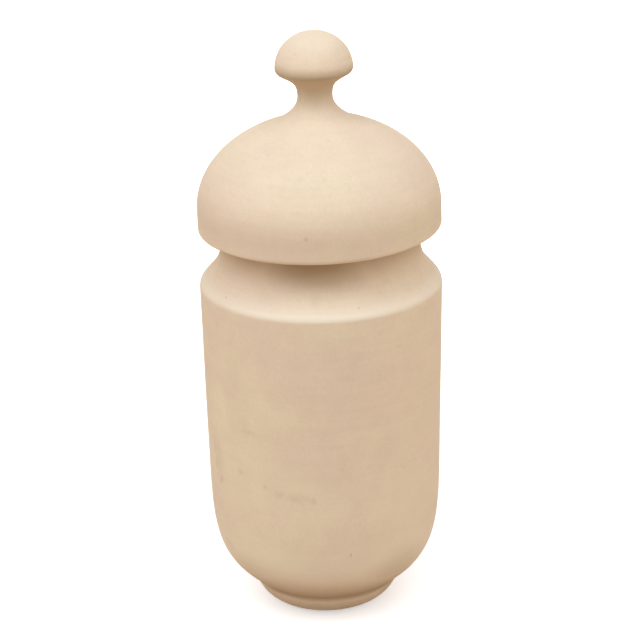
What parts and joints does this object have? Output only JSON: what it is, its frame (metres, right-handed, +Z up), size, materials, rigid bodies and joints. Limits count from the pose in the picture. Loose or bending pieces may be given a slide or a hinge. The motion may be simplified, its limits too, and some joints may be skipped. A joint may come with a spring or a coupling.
{
  "type": "lidded vase",
  "caption": "Tall straight-walled vase of unglazed cream clay on a small rounded foot, with a sloping shoulder, a short neck and a domed lid with a knob that lifts off.",
  "frame": {"origin": "centre of the foot ring, on the surface that the vase stands on", "axes": "+Z up along the vase's axis; +X to the right and -Y towards the viewer in the picture"},
  "size_m": [0.1338, 0.1338, 0.3302],
  "materials": {
    "unglazed_clay": "matt, fired without glaze"
  },
  "bodies": {
    "vase": {"vase_body": "unglazed_clay"},
    "lid": {"lid": "unglazed_clay"}
  },
  "joints": [
    {"name": "lid_lift", "type": "slide", "parent": "vase", "child": "lid", "axis": [-0.0157, 0, 0.9999], "range_m": [0, 0.15]}
  ]
}
